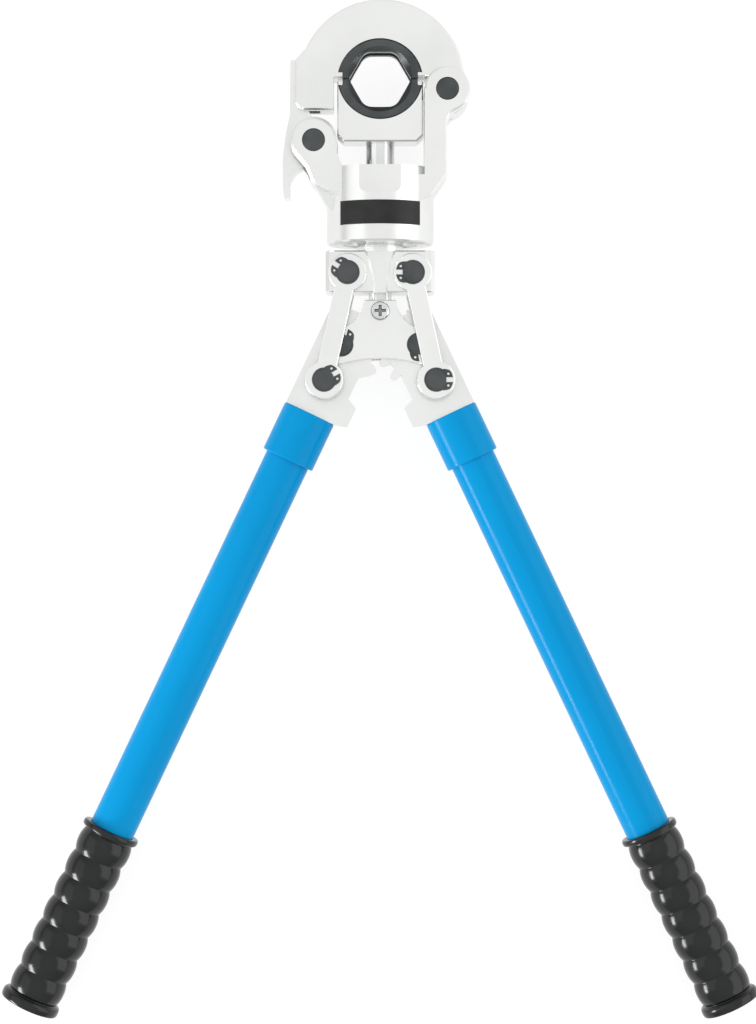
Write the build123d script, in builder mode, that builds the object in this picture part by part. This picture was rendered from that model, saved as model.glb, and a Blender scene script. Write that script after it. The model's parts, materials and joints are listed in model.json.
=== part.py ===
"""Pipe crimping tool with a hinged C jaw, toggle links and two long handles.

Millimetres. The tool lies flat with its front up: X to the right, Y along the tool
towards the jaws, Z up. The origin is the centre of the crimping opening.
"""
import os
from math import acos, atan2, cos, degrees, hypot, pi, radians, sin, sqrt, tan

from build123d import *

os.makedirs("parts", exist_ok=True)

# Clearances
running_gap = 0.3
pin_gap = 0.05
seat_gap = 0.02

# Dies
die_radius = 30.0
die_depth = 28.0
die_gap = 1.2
die_cut_back = 2.4
die_flat = 37.2
die_corner_radius = 8.0
die_neck_half = 26.2
die_neck_height = 4.0
die_groove_depth = 1.4
die_groove_width = 11.0
lead_in_radius = 22.3
lead_in_depth = 3.4

# Jaws
jaw_depth = 28.0
frame_radius = 58.0
frame_centre_x = 1.0
frame_centre_y = -2.3
lip_slack = 0.15
leg_inner_x = -32.5
leg_outer_x = -59.5
leg_bottom_y = -21.5
leg_shoulder_y = 13.0
leg_corner_radius = 7.0
leg_step = 0.7
leg_step_y = 20.0
leg_slope_length = 7.0
frame_chamfer = 1.8
slider_half = 30.0
slider_top_drop = 1.55
slider_bottom_y = -43.7
slider_chamfer = 4.5

# Hinge of the upper jaw and pivot of the latch
hinge_x = 46.7
hinge_y = -8.7
hinge_pin_radius = 8.0
hinge_lug_radius = 16.0
hinge_ear_radius = 15.8
latch_x = -46.2
latch_y = -44.3
latch_pin_radius = 8.0
latch_ear_radius = 16.3

# Latch
latch_slot = 12.6
latch_arm_width = 12.0
latch_bite = 6.6
latch_hub_radius = 13.2
latch_outer_x = -62.9
latch_gap = 0.7
lever_outer_x = -68.2
catch_top_y = -2.0
catch_bottom_y = -12.0
catch_outer_x = -53.0
spring_wire = 1.8
spring_turns = 2.5
spring_leg = 9.0

# Yoke
yoke_radius = 37.5
yoke_top_y = -62.2
yoke_length = 52.8
ear_outer_z = 26.5
arm_inner_x = 30.8
arm_outer_x = 46.5
shoulder_half_z = 17.0
arm_fillet = 10.0
vice_flat_half = 14.5
vice_flat_length = 19.0
neck_cavity_radius = 26.0
neck_cavity_depth = 24.0
plate_arc = 46.6
plate_height = 16.5
plate_top_y = -86.9
name_plate_thickness = 0.5

# Neck and block
neck_radius = 16.0
neck_flange_radius = 22.0
neck_flange_thickness = 6.0
ring_thickness = 9.0
washer_thickness = 2.0
block_top_y = -120.2
block_bottom_y = -149.2
block_half = 38.0
block_depth = 36.6
web_half_top = 11.8
web_half_bottom = 5.1
web_recess = 3.5
web_slope = 24.0

# Rod
rod_radius = 10.0
rod_tail_radius = 8.0
rod_step_y = -112.0
rod_head_gap = 0.5
bush_radius = 13.0
bush_length = 28.0
swivel_pin_radius = 1.8

# Toggle linkage
link_pin_x = 22.6
link_pin_y = -136.0
plate_pin_x = 27.0
plate_pin_y = -185.5
arm_throw = 27.7
open_angle = 25.4
pin_radius = 7.0
link_end_radius = 13.3
link_waist = 13.5
link_waist_fillet = 20.0
link_thickness = 8.0
link_boss_radius = 11.5

# Centre plates
centre_plate_thickness = 6.0
centre_plate_top_y = -154.4
centre_plate_top_half = 11.2
centre_plate_end_radius = 13.5
centre_plate_arch = 3.8
screw_y = -162.0
screw_radius = 3.0
screw_head_radius = 6.5
screw_head_height = 3.2
tongue_half_depth = 6.0
tongue_end_radius = 5.0

# Circlips
circlip_thickness = 1.0
circlip_width = 2.0
circlip_lug_radius = 2.3
circlip_lug_reach = 0.9
groove_depth = 0.6
pin_end = 1.3

# Handle arms
arm_thickness = 18.0
arm_outer_v = 18.0
arm_head_radius = 25.9
arm_relief_v = 20.2
arm_foot_v = 27.9
arm_plate_end = 52.6
arm_head_fillet = 5.0
teeth_in_circle = 14
tooth_addendum = 3.0
tooth_dedendum = 3.6
tooth_thinning = 0.3
pressure_angle = 20.0
shank_length = 60.0

# Handles
sleeve_radius = 19.0
sleeve_length = 36.0
tube_radius = 16.0
tube_wall = 2.0
tube_visible = 287.2
grip_ring_pitch = 17.8
grip_rings = 7
grip_valley_radius = 17.5
grip_crest_radius = 19.2
grip_collar_radius = 20.6
grip_collar = 5.0
grip_flange_radius = 21.2
grip_flange = 7.0
grip_end_wall = 4.0

# Heights of the layers of the linkage, measured from the mid-plane
arm_half = arm_thickness / 2
plate_in_z = arm_half + running_gap
plate_out_z = plate_in_z + centre_plate_thickness
block_half_z = block_depth / 2
link_in_z = block_half_z + running_gap
link_out_z = link_in_z + link_thickness

# Levels of the jaws
jaw_face_y = die_gap / 2
die_centre_y = jaw_face_y - die_cut_back
slider_top_y = -jaw_face_y - slider_top_drop
ear_inner_z = jaw_depth / 2 + running_gap

# Joint of the links with the arms
tilt = radians(open_angle)
arm_pin_x = plate_pin_x + arm_throw * sin(tilt)
arm_pin_y = plate_pin_y - arm_throw * cos(tilt)


def export(builder, label):
    builder.part.label = label
    export_step(builder.part, f"parts/{label}.step")


def corner_at(sketch, x, y):
    """The vertex of a sketch that lies nearest to a point."""
    return sketch.vertices().sort_by(lambda v: hypot(v.X - x, v.Y - y))[0]


def handle_plane(side):
    """Plane on the pivot of an arm: first axis down the handle, second axis inward."""
    return Plane(
        origin=(side * plate_pin_x, plate_pin_y, 0),
        x_dir=(side * sin(tilt), -cos(tilt), 0),
        z_dir=(0, 0, -side),
    )


def handle_section(side, distance):
    """Plane square to the handle at a distance from the pivot of its arm."""
    direction = Vector(side * sin(tilt), -cos(tilt), 0)
    start = Vector(side * plate_pin_x, plate_pin_y, 0) + direction * distance
    return Plane(origin=start, x_dir=(0, 0, 1), z_dir=direction)


# Dies
hexagon_y = jaw_face_y
seat_height = jaw_face_y + die_neck_height


def die_opening(grow):
    """Hexagon with its sharp corners on the split line and the others rounded."""
    with BuildSketch(mode=Mode.PRIVATE) as opening:
        with Locations((0, hexagon_y)):
            RegularPolygon(die_flat / 2 + grow, 6, major_radius=False)
        corners = opening.vertices().filter_by(lambda v: abs(v.Y - hexagon_y) > 1)
        fillet(corners, die_corner_radius)
    return opening.sketch


with BuildPart() as upper_die:
    with BuildSketch(Plane.XY.offset(-die_depth / 2)):
        with Locations((0, die_centre_y)):
            Circle(die_radius)
        with Locations((0, jaw_face_y)):
            Rectangle(3 * die_radius, 2 * die_radius, align=(Align.CENTER, Align.MAX), mode=Mode.SUBTRACT)
        for side in (-1, 1):
            with Locations((side * (die_neck_half + die_radius / 2), jaw_face_y)):
                Rectangle(die_radius, 2 * die_neck_height, mode=Mode.SUBTRACT)
        add(die_opening(0), mode=Mode.SUBTRACT)
    extrude(amount=die_depth)
    outer_rim = upper_die.edges().filter_by(GeomType.CIRCLE).filter_by(
        lambda e: abs(e.radius - die_radius) < 0.01
    )
    chamfer(outer_rim, 1.0)
    with BuildSketch(Plane.XY.offset(-die_groove_width / 2)):
        add(die_opening(die_groove_depth))
        with Locations((0, jaw_face_y)):
            Rectangle(3 * die_radius, 2 * die_radius, align=(Align.CENTER, Align.MAX), mode=Mode.SUBTRACT)
    extrude(amount=die_groove_width, mode=Mode.SUBTRACT)
    for face in (-1, 1):
        with BuildSketch(Plane.XY.offset(face * die_depth / 2)):
            with Locations((0, hexagon_y)):
                Circle(lead_in_radius)
        extrude(amount=-face * lead_in_depth, taper=45, mode=Mode.SUBTRACT)
export(upper_die, "upper_die")

with BuildPart() as lower_die:
    add(mirror(upper_die.part, about=Plane.XZ))
export(lower_die, "lower_die")


# Upper jaw: a C frame with a slotted leg for the latch and a lug for the hinge
with BuildPart() as c_frame:
    with BuildSketch(Plane.XY.offset(-jaw_depth / 2)) as frame_outline:
        with Locations((frame_centre_x, frame_centre_y)):
            Circle(frame_radius)
        with Locations((0, jaw_face_y)):
            Rectangle(4 * frame_radius, 2 * frame_radius, align=(Align.CENTER, Align.MAX), mode=Mode.SUBTRACT)
        with BuildLine():
            Polyline(
                (leg_inner_x, jaw_face_y + 1),
                (leg_inner_x, leg_bottom_y),
                (leg_outer_x, leg_bottom_y),
                (leg_outer_x, leg_shoulder_y),
                (leg_outer_x + 6.5, leg_shoulder_y + 7.6),
                (leg_inner_x, leg_shoulder_y + 7.6),
                close=True,
            )
        make_face()
        with Locations((hinge_x, hinge_y)):
            Circle(hinge_lug_radius)
        fillet(corner_at(frame_outline, leg_outer_x, leg_bottom_y), leg_corner_radius)
    extrude(amount=jaw_depth)
    rims = c_frame.faces().filter_by(Axis.Z).edges()
    chamfer(rims.filter_by(lambda e: e.center().X > leg_inner_x + 8 or e.center().X < -50), frame_chamfer)
    for face in (-1, 1):
        with BuildSketch(Plane(origin=(leg_outer_x - 1, 0, 0), x_dir=(0, 1, 0), z_dir=(1, 0, 0))):
            with BuildLine():
                Polyline(
                    (leg_step_y + leg_slope_length, face * jaw_depth / 2),
                    (leg_step_y, face * (jaw_depth / 2 - leg_step)),
                    (leg_bottom_y - 1, face * (jaw_depth / 2 - leg_step)),
                    (leg_bottom_y - 1, face * jaw_depth),
                    (leg_step_y + leg_slope_length, face * jaw_depth),
                    close=True,
                )
            make_face()
        extrude(amount=-leg_outer_x + 1 - die_radius / 2, mode=Mode.SUBTRACT)
    with BuildSketch(Plane.XY.offset(-jaw_depth / 2)):
        with Locations((0, die_centre_y)):
            Circle(die_radius + seat_gap)
        with Locations((0, seat_height - lip_slack)):
            Rectangle(4 * die_radius, 2 * die_radius, align=(Align.CENTER, Align.MAX), mode=Mode.SUBTRACT)
        with Locations((0, jaw_face_y)):
            Rectangle(2 * die_neck_half + 0.3, 3 * die_neck_height)
    extrude(amount=jaw_depth, mode=Mode.SUBTRACT)
    with BuildSketch(Plane.XY.offset(-jaw_depth / 2)):
        with Locations((hinge_x, hinge_y)):
            Circle(hinge_pin_radius + pin_gap)
    extrude(amount=jaw_depth, mode=Mode.SUBTRACT)
    with BuildSketch(Plane.XY.offset(-latch_slot / 2)):
        with BuildLine():
            Polyline(
                (leg_outer_x - 5, leg_bottom_y - 1),
                (catch_outer_x + 11, leg_bottom_y - 1),
                (catch_outer_x + 11, catch_bottom_y),
                (catch_outer_x, catch_bottom_y),
                (catch_outer_x, catch_top_y),
                (catch_outer_x + latch_bite + 0.8, catch_top_y),
                (catch_outer_x + latch_bite + 0.8, catch_top_y + 11),
                (catch_outer_x, leg_shoulder_y + 1),
                (leg_outer_x - 5, leg_shoulder_y + 1),
                close=True,
            )
        make_face()
    extrude(amount=latch_slot, mode=Mode.SUBTRACT)
export(c_frame, "c_frame")


# Lower jaw: a slider that carries the lower die, turned by the rod's head
swivel_y = slider_bottom_y + 5.8
rod_top_y = slider_bottom_y + 10.2
swivel_x = rod_radius - 0.1

with BuildPart() as jaw_slider:
    with BuildSketch(Plane.XY.offset(-jaw_depth / 2)) as slider_outline:
        with Locations((0, slider_top_y)):
            Rectangle(2 * slider_half, slider_top_y - slider_bottom_y, align=(Align.CENTER, Align.MAX))
        chamfer(slider_outline.vertices().group_by(Axis.Y)[0], slider_chamfer)
    extrude(amount=jaw_depth)
    slider_rims = jaw_slider.faces().filter_by(Axis.Z).edges()
    chamfer(slider_rims.filter_by(lambda e: e.center().Y < slider_top_y - 1), 1.0)
    with BuildSketch(Plane.XY.offset(-jaw_depth / 2)):
        with Locations((0, -die_centre_y)):
            Circle(die_radius + seat_gap)
        with Locations((0, lip_slack - seat_height)):
            Rectangle(4 * die_radius, 2 * die_radius, align=(Align.CENTER, Align.MIN), mode=Mode.SUBTRACT)
        with Locations((0, -jaw_face_y)):
            Rectangle(2 * die_neck_half + 0.3, 3 * die_neck_height)
    extrude(amount=jaw_depth, mode=Mode.SUBTRACT)
    with BuildSketch(Plane.XZ.offset(-slider_bottom_y)):
        Circle(rod_radius + pin_gap)
    extrude(amount=-(rod_top_y - slider_bottom_y + rod_head_gap), mode=Mode.SUBTRACT)
    with BuildSketch(Plane.XY.offset(-jaw_depth / 2)):
        with Locations((-swivel_x, swivel_y), (swivel_x, swivel_y)):
            Circle(swivel_pin_radius)
    extrude(amount=jaw_depth - 5, mode=Mode.SUBTRACT)
export(jaw_slider, "jaw_slider")

with BuildPart() as swivel_pins:
    with BuildSketch(Plane.XY.offset(-jaw_depth / 2)):
        with Locations((-swivel_x, swivel_y), (swivel_x, swivel_y)):
            Circle(swivel_pin_radius)
    extrude(amount=jaw_depth - 5)
export(swivel_pins, "swivel_pins")


# Yoke: a turned body with a solid arm on the right and two ears on each side
yoke_bottom_y = yoke_top_y - yoke_length
cavity_top_y = yoke_bottom_y + neck_cavity_depth
ear_bend_x = 5.3
ear_bend_y = 18.9
ear_tangent = atan2(ear_bend_y, ear_bend_x) - acos(latch_ear_radius / hypot(ear_bend_x, ear_bend_y))

with BuildPart() as yoke:
    with BuildSketch(Plane.XY.offset(-ear_outer_z)) as right_arm:
        with BuildLine():
            Polyline(
                (arm_inner_x, yoke_top_y - 6),
                (arm_inner_x, hinge_y),
                (arm_outer_x, hinge_y),
                (arm_outer_x, yoke_top_y - 5.1),
                (yoke_radius - 0.2, yoke_top_y - 18.5),
                (yoke_radius - 9, yoke_top_y - 24),
                (0, yoke_top_y - 24),
                (0, yoke_top_y - 6),
                close=True,
            )
        make_face()
        with Locations((hinge_x, hinge_y)):
            Circle(hinge_ear_radius)
        fillet(corner_at(right_arm, arm_outer_x, hinge_y - hinge_ear_radius), arm_fillet)
    extrude(amount=2 * ear_outer_z)
    with BuildSketch(Plane.XY.offset(-ear_outer_z)) as left_arm:
        with BuildLine():
            Polyline(
                (latch_x + latch_ear_radius, latch_y),
                (latch_x + latch_ear_radius, latch_y - 9),
                (-0.69 * yoke_radius, yoke_top_y - 1),
                (-0.5 * yoke_radius, yoke_top_y - 6),
                (-0.5 * yoke_radius, yoke_top_y - 21),
                (-0.73 * yoke_radius, yoke_top_y - 21.8),
                (latch_x - 1.2, yoke_top_y - 11.2),
                (latch_x - ear_bend_x, latch_y - ear_bend_y),
                (latch_x - latch_ear_radius * cos(ear_tangent), latch_y - latch_ear_radius * sin(ear_tangent)),
                (latch_x, latch_y),
                close=True,
            )
        make_face()
        with Locations((latch_x, latch_y)):
            Circle(latch_ear_radius)
        fillet(corner_at(left_arm, latch_x - ear_bend_x, latch_y - ear_bend_y), 10.0)
        fillet(corner_at(left_arm, latch_x - 1.2, yoke_top_y - 11.2), 4.0)
    extrude(amount=2 * ear_outer_z)
    rims = yoke.faces().filter_by(Axis.Z).edges()
    outer_left = rims.filter_by(lambda e: e.center().X < -36 and e.center().Y > yoke_top_y - 28)
    chamfer(outer_left, 2.0)
    rims = yoke.faces().filter_by(Axis.Z).edges()
    outer_right = rims.filter_by(lambda e: e.center().X > arm_outer_x - 6)
    chamfer(outer_right, 1.2)
    with BuildSketch(Plane.XY.offset(-shoulder_half_z)) as left_shoulder:
        with BuildLine():
            Polyline(
                (latch_x + 8, yoke_top_y - 2),
                (0, yoke_top_y - 6),
                (0, yoke_top_y - 32),
                (-yoke_radius + 4, yoke_top_y - 31),
                (-yoke_radius - 0.8, yoke_top_y - 25.0),
                (latch_x + 0.7, yoke_top_y - 12.3),
                (latch_x - 2.8, yoke_top_y - 5.8),
                close=True,
            )
        make_face()
    extrude(amount=2 * shoulder_half_z)
    with BuildSketch(Plane.XZ.offset(-yoke_top_y)):
        Circle(yoke_radius)
    extrude(amount=yoke_length)
    chamfer(yoke.faces().sort_by(Axis.Y)[0].edges(), 1.2)
    for face in (-1, 1):
        with BuildSketch(Plane.XY.offset(face * (yoke_radius + 1))) as vice_flat:
            with Locations((0, yoke_top_y + 1)):
                Rectangle(2 * vice_flat_half, vice_flat_length + 1, align=(Align.CENTER, Align.MAX))
            fillet(vice_flat.vertices().group_by(Axis.Y)[0], 5.0)
        flat_z = sqrt(yoke_radius**2 - vice_flat_half**2)
        extrude(amount=-face * (1 + yoke_radius - flat_z), mode=Mode.SUBTRACT)
    with BuildSketch(Plane.XY.offset(-ear_inner_z)):
        with Locations((hinge_x, hinge_y)):
            Circle(hinge_lug_radius + 1)
        with Locations((hinge_x, hinge_y)):
            Rectangle(2 * hinge_lug_radius + 20, 40, align=(Align.CENTER, Align.MIN))
        with Locations((latch_x, latch_y)):
            Circle(25.0)
            Rectangle(2 * latch_ear_radius + 20, 30, align=(Align.CENTER, Align.MIN))
        with Locations((-25.0 - 30, yoke_top_y)):
            Rectangle(60, 30, align=(Align.CENTER, Align.MIN))
    extrude(amount=2 * ear_inner_z, mode=Mode.SUBTRACT)
    for x, y, radius in ((hinge_x, hinge_y, hinge_pin_radius), (latch_x, latch_y, latch_pin_radius)):
        with BuildSketch(Plane.XY.offset(-ear_outer_z)):
            with Locations((x, y)):
                Circle(radius)
        extrude(amount=2 * ear_outer_z, mode=Mode.SUBTRACT)
    with BuildSketch(Plane.XZ.offset(-yoke_top_y)):
        Circle(bush_radius)
    extrude(amount=yoke_length, mode=Mode.SUBTRACT)
    with BuildSketch(Plane.XZ.offset(-cavity_top_y)):
        Circle(neck_cavity_radius)
    extrude(amount=neck_cavity_depth, mode=Mode.SUBTRACT)
export(yoke, "yoke")

with BuildPart() as guide_bush:
    with BuildSketch(Plane.XZ.offset(-yoke_top_y)):
        Circle(bush_radius)
        Circle(rod_radius + pin_gap, mode=Mode.SUBTRACT)
    extrude(amount=bush_length)
export(guide_bush, "guide_bush")

ring_top_y = yoke_bottom_y + ring_thickness
with BuildPart() as retaining_ring:
    with BuildSketch(Plane.XZ.offset(-ring_top_y)):
        Circle(neck_cavity_radius)
        Circle(neck_radius + running_gap, mode=Mode.SUBTRACT)
    extrude(amount=ring_thickness - 1)
    with BuildSketch(Plane.XZ.offset(-yoke_bottom_y - 1)):
        with PolarLocations((neck_radius + neck_cavity_radius) / 2, 2):
            Circle(2.0)
    extrude(amount=-3, mode=Mode.SUBTRACT)
export(retaining_ring, "retaining_ring")

for label, x, y, radius in (
    ("hinge_pin", hinge_x, hinge_y, hinge_pin_radius),
    ("latch_pin", latch_x, latch_y, latch_pin_radius),
):
    with BuildPart() as pin:
        with BuildSketch(Plane.XY.offset(-ear_outer_z)):
            with Locations((x, y)):
                Circle(radius)
        extrude(amount=2 * ear_outer_z)
        chamfer(pin.edges().filter_by(GeomType.CIRCLE), 0.6)
    export(pin, label)

with BuildPart() as name_plate:
    with BuildSketch(Plane.XZ.offset(-plate_top_y)):
        with BuildLine():
            CenterArc((0, 0), yoke_radius, 90 - plate_arc, 2 * plate_arc)
            CenterArc((0, 0), yoke_radius + name_plate_thickness, 90 - plate_arc, 2 * plate_arc)
            for end in (90 - plate_arc, 90 + plate_arc):
                c, s = cos(radians(end)), sin(radians(end))
                outer = yoke_radius + name_plate_thickness
                Line((yoke_radius * c, yoke_radius * s), (outer * c, outer * s))
        make_face()
    extrude(amount=plate_height)
export(name_plate, "name_plate")


# Latch: a hooked lever between the left ears, with a torsion spring on its pin
hub_top_z = latch_arm_width / 2
with BuildPart() as latch:
    with BuildSketch(Plane.XY.offset(-latch_arm_width / 2)) as hook_outline:
        with BuildLine():
            Polyline(
                (latch_x + 4, latch_y + 8),
                (latch_x - 0.4, leg_bottom_y - 5.5),
                (catch_outer_x - 0.4, catch_bottom_y - 4),
                (catch_outer_x - 0.4, catch_top_y + latch_gap),
                (catch_outer_x + latch_bite, catch_top_y + latch_gap),
                (catch_outer_x + latch_bite, catch_top_y + 6),
                (catch_outer_x + 1, catch_top_y + 10),
                (catch_outer_x - 2.5, leg_shoulder_y - 0.4),
                (leg_outer_x - 0.6, leg_shoulder_y + 1.4),
                (latch_outer_x, leg_shoulder_y + 1.4),
                (latch_outer_x - 0.3, leg_bottom_y - 3),
                (latch_outer_x - 2.6, latch_y + 9.7),
                (latch_x, latch_y),
                close=True,
            )
        make_face()
        fillet(corner_at(hook_outline, catch_outer_x + latch_bite, catch_top_y + 6), 2.0)
        fillet(corner_at(hook_outline, latch_outer_x, leg_shoulder_y + 1.4), 1.5)
    extrude(amount=latch_arm_width)
    with BuildSketch(Plane.XY.offset(-ear_inner_z + running_gap)) as lever_outline:
        with Locations((latch_x, latch_y)):
            Circle(latch_hub_radius)
        with BuildLine():
            ThreePointArc(
                (latch_outer_x - 2.6, latch_y + 9.7),
                (lever_outer_x + 1.0, latch_y - 1.5),
                (lever_outer_x, latch_y - 11),
            )
            Polyline(
                (lever_outer_x, latch_y - 11),
                (lever_outer_x, latch_y - 29),
                (lever_outer_x + 0.7, latch_y - 37.6),
                (lever_outer_x + 1.4, latch_y - 38.3),
                (lever_outer_x + 5.1, latch_y - 37.9),
                (lever_outer_x + 5.2, latch_y - 34.1),
                (lever_outer_x + 4.9, latch_y - 29),
            )
            ThreePointArc(
                (lever_outer_x + 4.9, latch_y - 29),
                (lever_outer_x + 6.9, latch_y - 23),
                (lever_outer_x + 11.8, latch_y - 18.3),
            )
            Polyline(
                (lever_outer_x + 11.8, latch_y - 18.3),
                (lever_outer_x + 16.2, latch_y - 14.9),
                (latch_x + 2, latch_y - latch_hub_radius + 0.5),
                (latch_x, latch_y),
                (latch_outer_x - 2.6, latch_y + 9.7),
            )
        make_face()
    extrude(amount=hub_top_z + ear_inner_z - running_gap)
    with BuildSketch(Plane.XY.offset(-ear_inner_z)):
        with Locations((latch_x, latch_y)):
            Circle(latch_pin_radius + pin_gap)
    extrude(amount=2 * ear_inner_z, mode=Mode.SUBTRACT)
export(latch, "latch")

spring_radius = latch_pin_radius + spring_wire + 0.7
spring_pitch = spring_wire + 0.4
spring_bottom_z = hub_top_z + 0.3 + spring_wire / 2
with BuildPart() as latch_spring:
    with BuildLine() as spring_path:
        coil = Helix(
            pitch=spring_pitch,
            height=spring_turns * spring_pitch,
            radius=spring_radius,
            center=(latch_x, latch_y, spring_bottom_z),
        )
    with BuildSketch(Plane(origin=coil @ 0, z_dir=coil % 0)):
        Circle(spring_wire / 2)
    sweep(is_frenet=True)
    for place, direction in ((coil @ 0, (coil % 0) * -1), (coil @ 1, coil % 1)):
        with BuildSketch(Plane(origin=place, z_dir=direction)):
            Circle(spring_wire / 2)
        extrude(amount=spring_leg)
export(latch_spring, "latch_spring")


# Block: cross-piece with a swivelling neck, links pinned to its four corners
flange_bottom_y = ring_top_y + washer_thickness + running_gap
web_top_y = block_top_y + 2
web_bottom_y = block_bottom_y - 2
with BuildPart() as block:
    with BuildSketch(Plane.XY.offset(-block_half_z)):
        with Locations((0, block_top_y)):
            Rectangle(2 * block_half, block_top_y - block_bottom_y, align=(Align.CENTER, Align.MAX))
    extrude(amount=block_depth)
    chamfer(block.edges().filter_by(Axis.Y), 2.5)
    chamfer(block.faces().filter_by(Axis.Y).edges(), 0.8)
    for face in (-1, 1):
        with BuildSketch(Plane.XY.offset(face * block_half_z)):
            with BuildLine():
                Line((-web_half_top, web_top_y), (web_half_top, web_top_y))
                ThreePointArc(
                    (web_half_top, web_top_y),
                    ((web_half_top + web_half_bottom) / 2 - 1.6, (web_top_y + web_bottom_y) / 2),
                    (web_half_bottom, web_bottom_y),
                )
                Line((web_half_bottom, web_bottom_y), (-web_half_bottom, web_bottom_y))
                ThreePointArc(
                    (-web_half_bottom, web_bottom_y),
                    (1.6 - (web_half_top + web_half_bottom) / 2, (web_top_y + web_bottom_y) / 2),
                    (-web_half_top, web_top_y),
                )
            make_face()
        extrude(amount=-face * web_recess, taper=web_slope, mode=Mode.SUBTRACT)
    with BuildSketch(Plane.XZ.offset(-block_top_y)):
        Circle(neck_radius)
    extrude(amount=-(flange_bottom_y + neck_flange_thickness - block_top_y))
    with BuildSketch(Plane.XZ.offset(-flange_bottom_y)):
        Circle(neck_flange_radius)
    extrude(amount=-neck_flange_thickness)
    with BuildSketch(Plane.XZ.offset(-block_bottom_y)):
        Circle(rod_tail_radius + pin_gap)
    extrude(amount=-(rod_step_y - block_bottom_y - 9), mode=Mode.SUBTRACT)
    with BuildSketch(Plane.XZ.offset(-(rod_step_y - 9))):
        Circle(rod_radius + running_gap)
    extrude(amount=-60, mode=Mode.SUBTRACT)
    with BuildSketch(Plane.XY.offset(-block_half_z)):
        with Locations((-link_pin_x, link_pin_y), (link_pin_x, link_pin_y)):
            Circle(pin_radius)
    extrude(amount=block_depth, mode=Mode.SUBTRACT)
export(block, "block")

with BuildPart() as thrust_washer:
    with BuildSketch(Plane.XZ.offset(-ring_top_y - washer_thickness)):
        Circle(neck_flange_radius + 2)
        Circle(neck_radius + running_gap, mode=Mode.SUBTRACT)
    extrude(amount=washer_thickness)
export(thrust_washer, "thrust_washer")


# Press rod: swivel head at the top, flat tongue at the bottom
with BuildPart() as press_rod:
    with BuildSketch(Plane.XZ.offset(-rod_top_y)):
        Circle(rod_radius)
    extrude(amount=rod_top_y - rod_step_y)
    with BuildSketch(Plane.XZ.offset(-swivel_y - swivel_pin_radius - 0.1)):
        Circle(rod_radius + 1)
        Circle(swivel_x - swivel_pin_radius - 0.1, mode=Mode.SUBTRACT)
    extrude(amount=2 * swivel_pin_radius + 0.2, mode=Mode.SUBTRACT)
    with BuildSketch(Plane.XZ.offset(-rod_step_y)):
        Circle(rod_tail_radius)
    extrude(amount=rod_step_y - screw_y + tongue_end_radius)
    with BuildSketch(Plane.XY.offset(-rod_radius)) as tongue:
        with Locations((0, centre_plate_top_y)):
            Rectangle(3 * rod_radius, 30, align=(Align.CENTER, Align.MAX))
        with BuildLine(mode=Mode.PRIVATE) as tip:
            Polyline(
                (-rod_tail_radius, centre_plate_top_y + 1),
                (rod_tail_radius, centre_plate_top_y + 1),
                (rod_tail_radius, centre_plate_top_y - 3.5),
                (tongue_end_radius, screw_y),
                (-tongue_end_radius, screw_y),
                (-rod_tail_radius, centre_plate_top_y - 3.5),
                close=True,
            )
        make_face(tip.edges(), mode=Mode.SUBTRACT)
        with Locations((0, screw_y)):
            Circle(tongue_end_radius, mode=Mode.SUBTRACT)
    extrude(amount=2 * rod_radius, mode=Mode.SUBTRACT)
    for face in (-1, 1):
        with BuildSketch(Plane.XY.offset(face * tongue_half_depth)):
            with Locations((0, centre_plate_top_y + 0.5)):
                Rectangle(3 * rod_radius, 30, align=(Align.CENTER, Align.MAX))
        extrude(amount=face * rod_radius, mode=Mode.SUBTRACT)
    with BuildSketch(Plane.XY.offset(-rod_radius)):
        with Locations((0, screw_y)):
            Circle(screw_radius)
    extrude(amount=2 * rod_radius, mode=Mode.SUBTRACT)
    chamfer(press_rod.faces().sort_by(Axis.Y)[-1].edges(), 0.8)
export(press_rod, "press_rod")


# Centre plates, one in front and one behind the arms
shoulder_x = plate_pin_x - centre_plate_end_radius * sin(radians(15))
shoulder_y = plate_pin_y + centre_plate_end_radius * cos(radians(15))
for label, face in (("front_plate", 1), ("back_plate", -1)):
    with BuildPart() as centre_plate:
        with BuildSketch(Plane.XY.offset(face * plate_in_z)):
            with BuildLine():
                Line((-centre_plate_top_half, centre_plate_top_y), (centre_plate_top_half, centre_plate_top_y))
                for side in (-1, 1):
                    ThreePointArc(
                        (side * centre_plate_top_half, centre_plate_top_y),
                        (side * (centre_plate_top_half + 3.6), centre_plate_top_y - 10.5),
                        (side * shoulder_x, shoulder_y),
                    )
                    ThreePointArc(
                        (side * shoulder_x, shoulder_y),
                        (side * (plate_pin_x + centre_plate_end_radius), plate_pin_y),
                        (side * plate_pin_x, plate_pin_y - centre_plate_end_radius),
                    )
                ThreePointArc(
                    (-plate_pin_x, plate_pin_y - centre_plate_end_radius),
                    (0, plate_pin_y - centre_plate_end_radius + centre_plate_arch),
                    (plate_pin_x, plate_pin_y - centre_plate_end_radius),
                )
            make_face()
        extrude(amount=face * centre_plate_thickness)
        outer_face = centre_plate.faces().filter_by(Axis.Z).sort_by(Axis.Z)[-1 if face > 0 else 0]
        fillet(outer_face.edges(), 0.8)
        with BuildSketch(Plane.XY.offset(face * tongue_half_depth)):
            with Locations((0, screw_y)):
                Circle(tongue_end_radius)
        extrude(amount=face * (plate_in_z - tongue_half_depth))
        with BuildSketch(Plane.XY.offset(face * tongue_half_depth)):
            with Locations((0, screw_y)):
                Circle(screw_radius)
            with Locations((-plate_pin_x, plate_pin_y), (plate_pin_x, plate_pin_y)):
                Circle(pin_radius)
        extrude(amount=face * plate_out_z, mode=Mode.SUBTRACT)
    export(centre_plate, label)

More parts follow.
